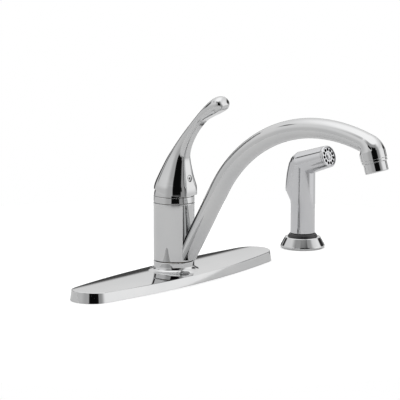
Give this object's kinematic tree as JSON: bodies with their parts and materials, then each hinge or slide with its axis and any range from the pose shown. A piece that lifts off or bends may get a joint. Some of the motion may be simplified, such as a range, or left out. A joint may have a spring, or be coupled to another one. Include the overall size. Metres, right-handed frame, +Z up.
{
  "type": "side spray kitchen faucet",
  "caption": "Deck-mounted kitchen faucet with a swivelling gooseneck spout, a lever handle over a ceramic cartridge, a long oval deck plate and a hand spray standing in its own holder.",
  "frame": {"origin": "centre of the deck plate's underside, on the axis of the valve body, at the top of the sink deck", "axes": "+X along the deck plate towards the hand spray, -Y towards the basin (the way the spout points), +Z up"},
  "size_m": [0.3635, 0.2705, 0.342],
  "materials": {
    "chrome": "bright polished chrome plating",
    "brass": "machined brass",
    "copper": "drawn copper tube",
    "steel": "zinc-plated steel",
    "rubber": "black moulded rubber",
    "black_plastic": "black moulded plastic",
    "white_plastic": "white moulded plastic",
    "ceramic": "ground ceramic"
  },
  "bodies": {
    "faucet": {"deck_plate": "chrome", "plate_underlay": "black_plastic", "plate_stud_left": "steel", "plate_stud_right": "steel", "stud_washer_left": "steel", "stud_washer_right": "steel", "stud_wing_nut_left": "black_plastic", "stud_wing_nut_right": "black_plastic", "valve_body": "brass", "body_screw_left": "steel", "body_screw_right": "steel", "lower_slip_ring": "white_plastic", "upper_slip_ring": "white_plastic", "lower_hub_o_ring": "rubber", "upper_hub_o_ring": "rubber", "trim_ring": "chrome", "dome_cap": "chrome", "bonnet_nut": "brass", "supply_tube_cold": "copper", "supply_adapter_cold": "brass", "supply_tube_hot": "copper", "supply_adapter_hot": "brass", "spray_hose_outlet": "brass", "cartridge_housing": "white_plastic", "cartridge_seal": "rubber", "fixed_disc": "ceramic", "diverter_spring": "steel", "spray_holder": "chrome", "holder_bushing": "black_plastic", "holder_washer": "rubber", "holder_nut": "black_plastic"},
    "spout": {"spout": "chrome", "nozzle_ring": "chrome", "aerator_housing": "chrome", "aerator_screen": "black_plastic", "aerator_washer": "rubber"},
    "turret": {"turret": "white_plastic", "stem_pin": "steel"},
    "handle": {"stem": "brass", "handle_lever": "chrome", "set_screw": "steel", "handle_plug": "chrome"},
    "disc_carrier": {"disc_carrier": "white_plastic", "moving_disc": "ceramic"},
    "diverter_spool": {"diverter_spool": "black_plastic"},
    "hand_spray": {"spray_body": "chrome", "spray_face": "chrome", "spray_face_ring": "chrome", "spray_face_button": "chrome", "hose_coupling": "brass", "trigger_pin": "steel"},
    "spray_trigger": {"spray_trigger": "chrome"},
    "spray_plunger": {"spray_plunger": "brass", "valve_spring": "steel"}
  },
  "joints": [
    {"name": "spout_swivel", "type": "hinge", "parent": "faucet", "child": "spout", "pos_m": [0, 0, 0.046], "axis": [0, 0, 1], "range_deg": [-70, 70]},
    {"name": "handle_turn", "type": "hinge", "parent": "faucet", "child": "turret", "pos_m": [0, 0, 0.0793], "axis": [0, 0, 1], "range_deg": [-45, 45]},
    {"name": "handle_lift", "type": "hinge", "parent": "turret", "child": "handle", "pos_m": [0, 0, 0.0793], "axis": [-1, 0, 0], "range_deg": [0, 20]},
    {"name": "disc_slide", "type": "slide", "parent": "turret", "child": "disc_carrier", "axis": [0, -1, 0], "range_m": [0, 0.0021]},
    {"name": "diverter_shift", "type": "slide", "parent": "faucet", "child": "diverter_spool", "axis": [0, 0, 1], "range_m": [0, 0.003], "stiffness_N_per_m": 120, "springref_m": -0.002, "deforming": ["diverter_spring"]},
    {"name": "spray_lift", "type": "slide", "parent": "faucet", "child": "hand_spray", "axis": [0, 0, 1], "range_m": [0, 0.12]},
    {"name": "trigger_press", "type": "hinge", "parent": "hand_spray", "child": "spray_trigger", "pos_m": [0.2032, 0.0048, 0.0855], "axis": [-1, 0, 0], "range_deg": [0, 6], "stiffness_Nm_per_rad": 1.2, "springref_deg": -6.88},
    {"name": "plunger_slide", "type": "slide", "parent": "hand_spray", "child": "spray_plunger", "axis": [0, -1, 0], "range_m": [0, 0.00184]}
  ],
  "couplings": [
    {"joint": "disc_slide", "follows": "handle_lift", "m_per_rad": 0.006},
    {"joint": "plunger_slide", "follows": "trigger_press", "m_per_rad": 0.0175}
  ]
}
